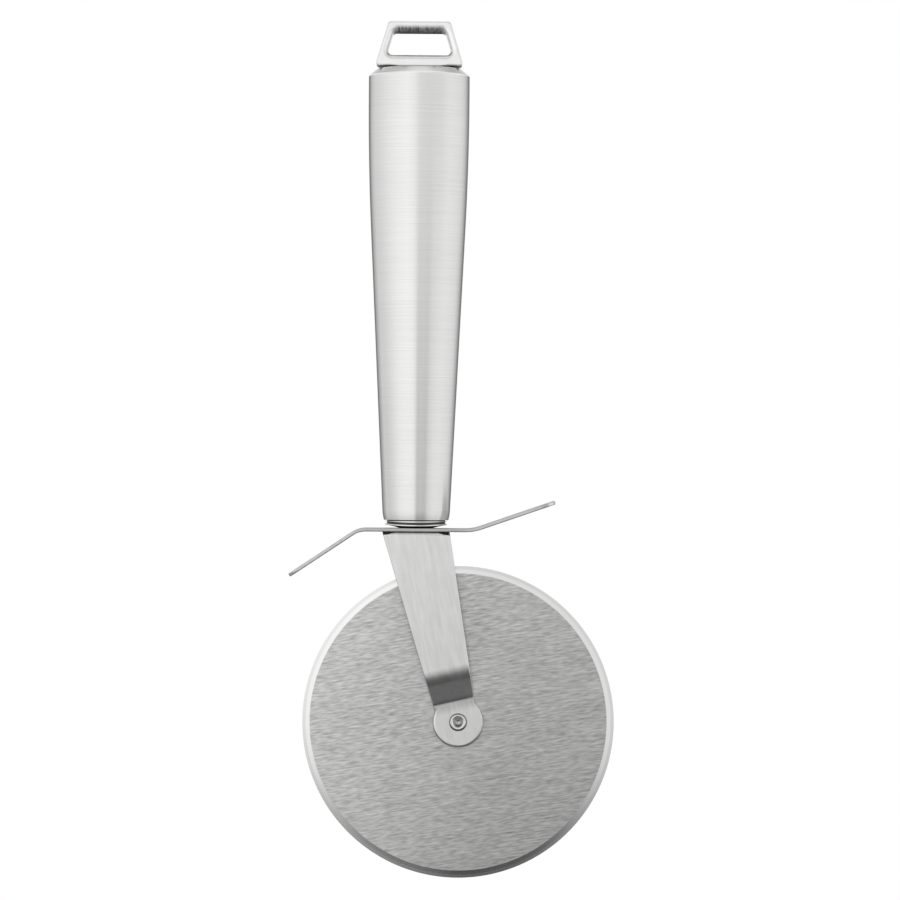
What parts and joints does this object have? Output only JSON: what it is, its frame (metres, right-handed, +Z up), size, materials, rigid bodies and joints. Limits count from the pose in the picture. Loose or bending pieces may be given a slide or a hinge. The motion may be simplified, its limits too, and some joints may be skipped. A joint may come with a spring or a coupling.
{
  "type": "pizza cutter",
  "caption": "Steel pizza cutter: bevelled wheel spinning in an offset sheet fork, bent finger guard, tapered oval hollow handle and a cast hanging loop.",
  "frame": {"origin": "middle of the underside of the hanging loop's top bar, where a hook bears, in the mid-plane of the wheel", "axes": "+Z up the handle, away from the wheel; +X to the right seen from the front, the side to which the fork leans; +Y to the back, along the wheel's axis"},
  "size_m": [0.0889, 0.0206, 0.2335],
  "materials": {
    "polished_loop": "polished stainless steel casting with softened edges",
    "satin_caps": "satin stainless steel",
    "brushed_grip": "stainless steel brushed round the handle",
    "cut_sheet": "rolled stainless steel sheet with tumbled edges",
    "ground_blade": "belt-ground stainless steel with a bright ground bevel",
    "turned_pivot": "bright stainless steel, turned and clinched",
    "plated_fastener": "zinc-plated steel"
  },
  "bodies": {
    "cutter_body": {"hang_loop": "polished_loop", "handle_top_cap": "satin_caps", "handle_tube": "brushed_grip", "handle_end_cap": "satin_caps", "threaded_insert": "plated_fastener", "finger_guard": "cut_sheet", "fork": "cut_sheet", "fork_screw": "plated_fastener", "lock_washer": "plated_fastener", "pivot_bush": "turned_pivot", "front_washer": "turned_pivot", "rear_washer": "turned_pivot", "pivot_rivet": "turned_pivot"},
    "cutting_wheel": {"blade": "ground_blade"}
  },
  "joints": [
    {"name": "blade_spin", "type": "hinge", "parent": "cutter_body", "child": "cutting_wheel", "pos_m": [0.01183, 0, -0.188], "axis": [0, 1, 0], "continuous": true}
  ]
}
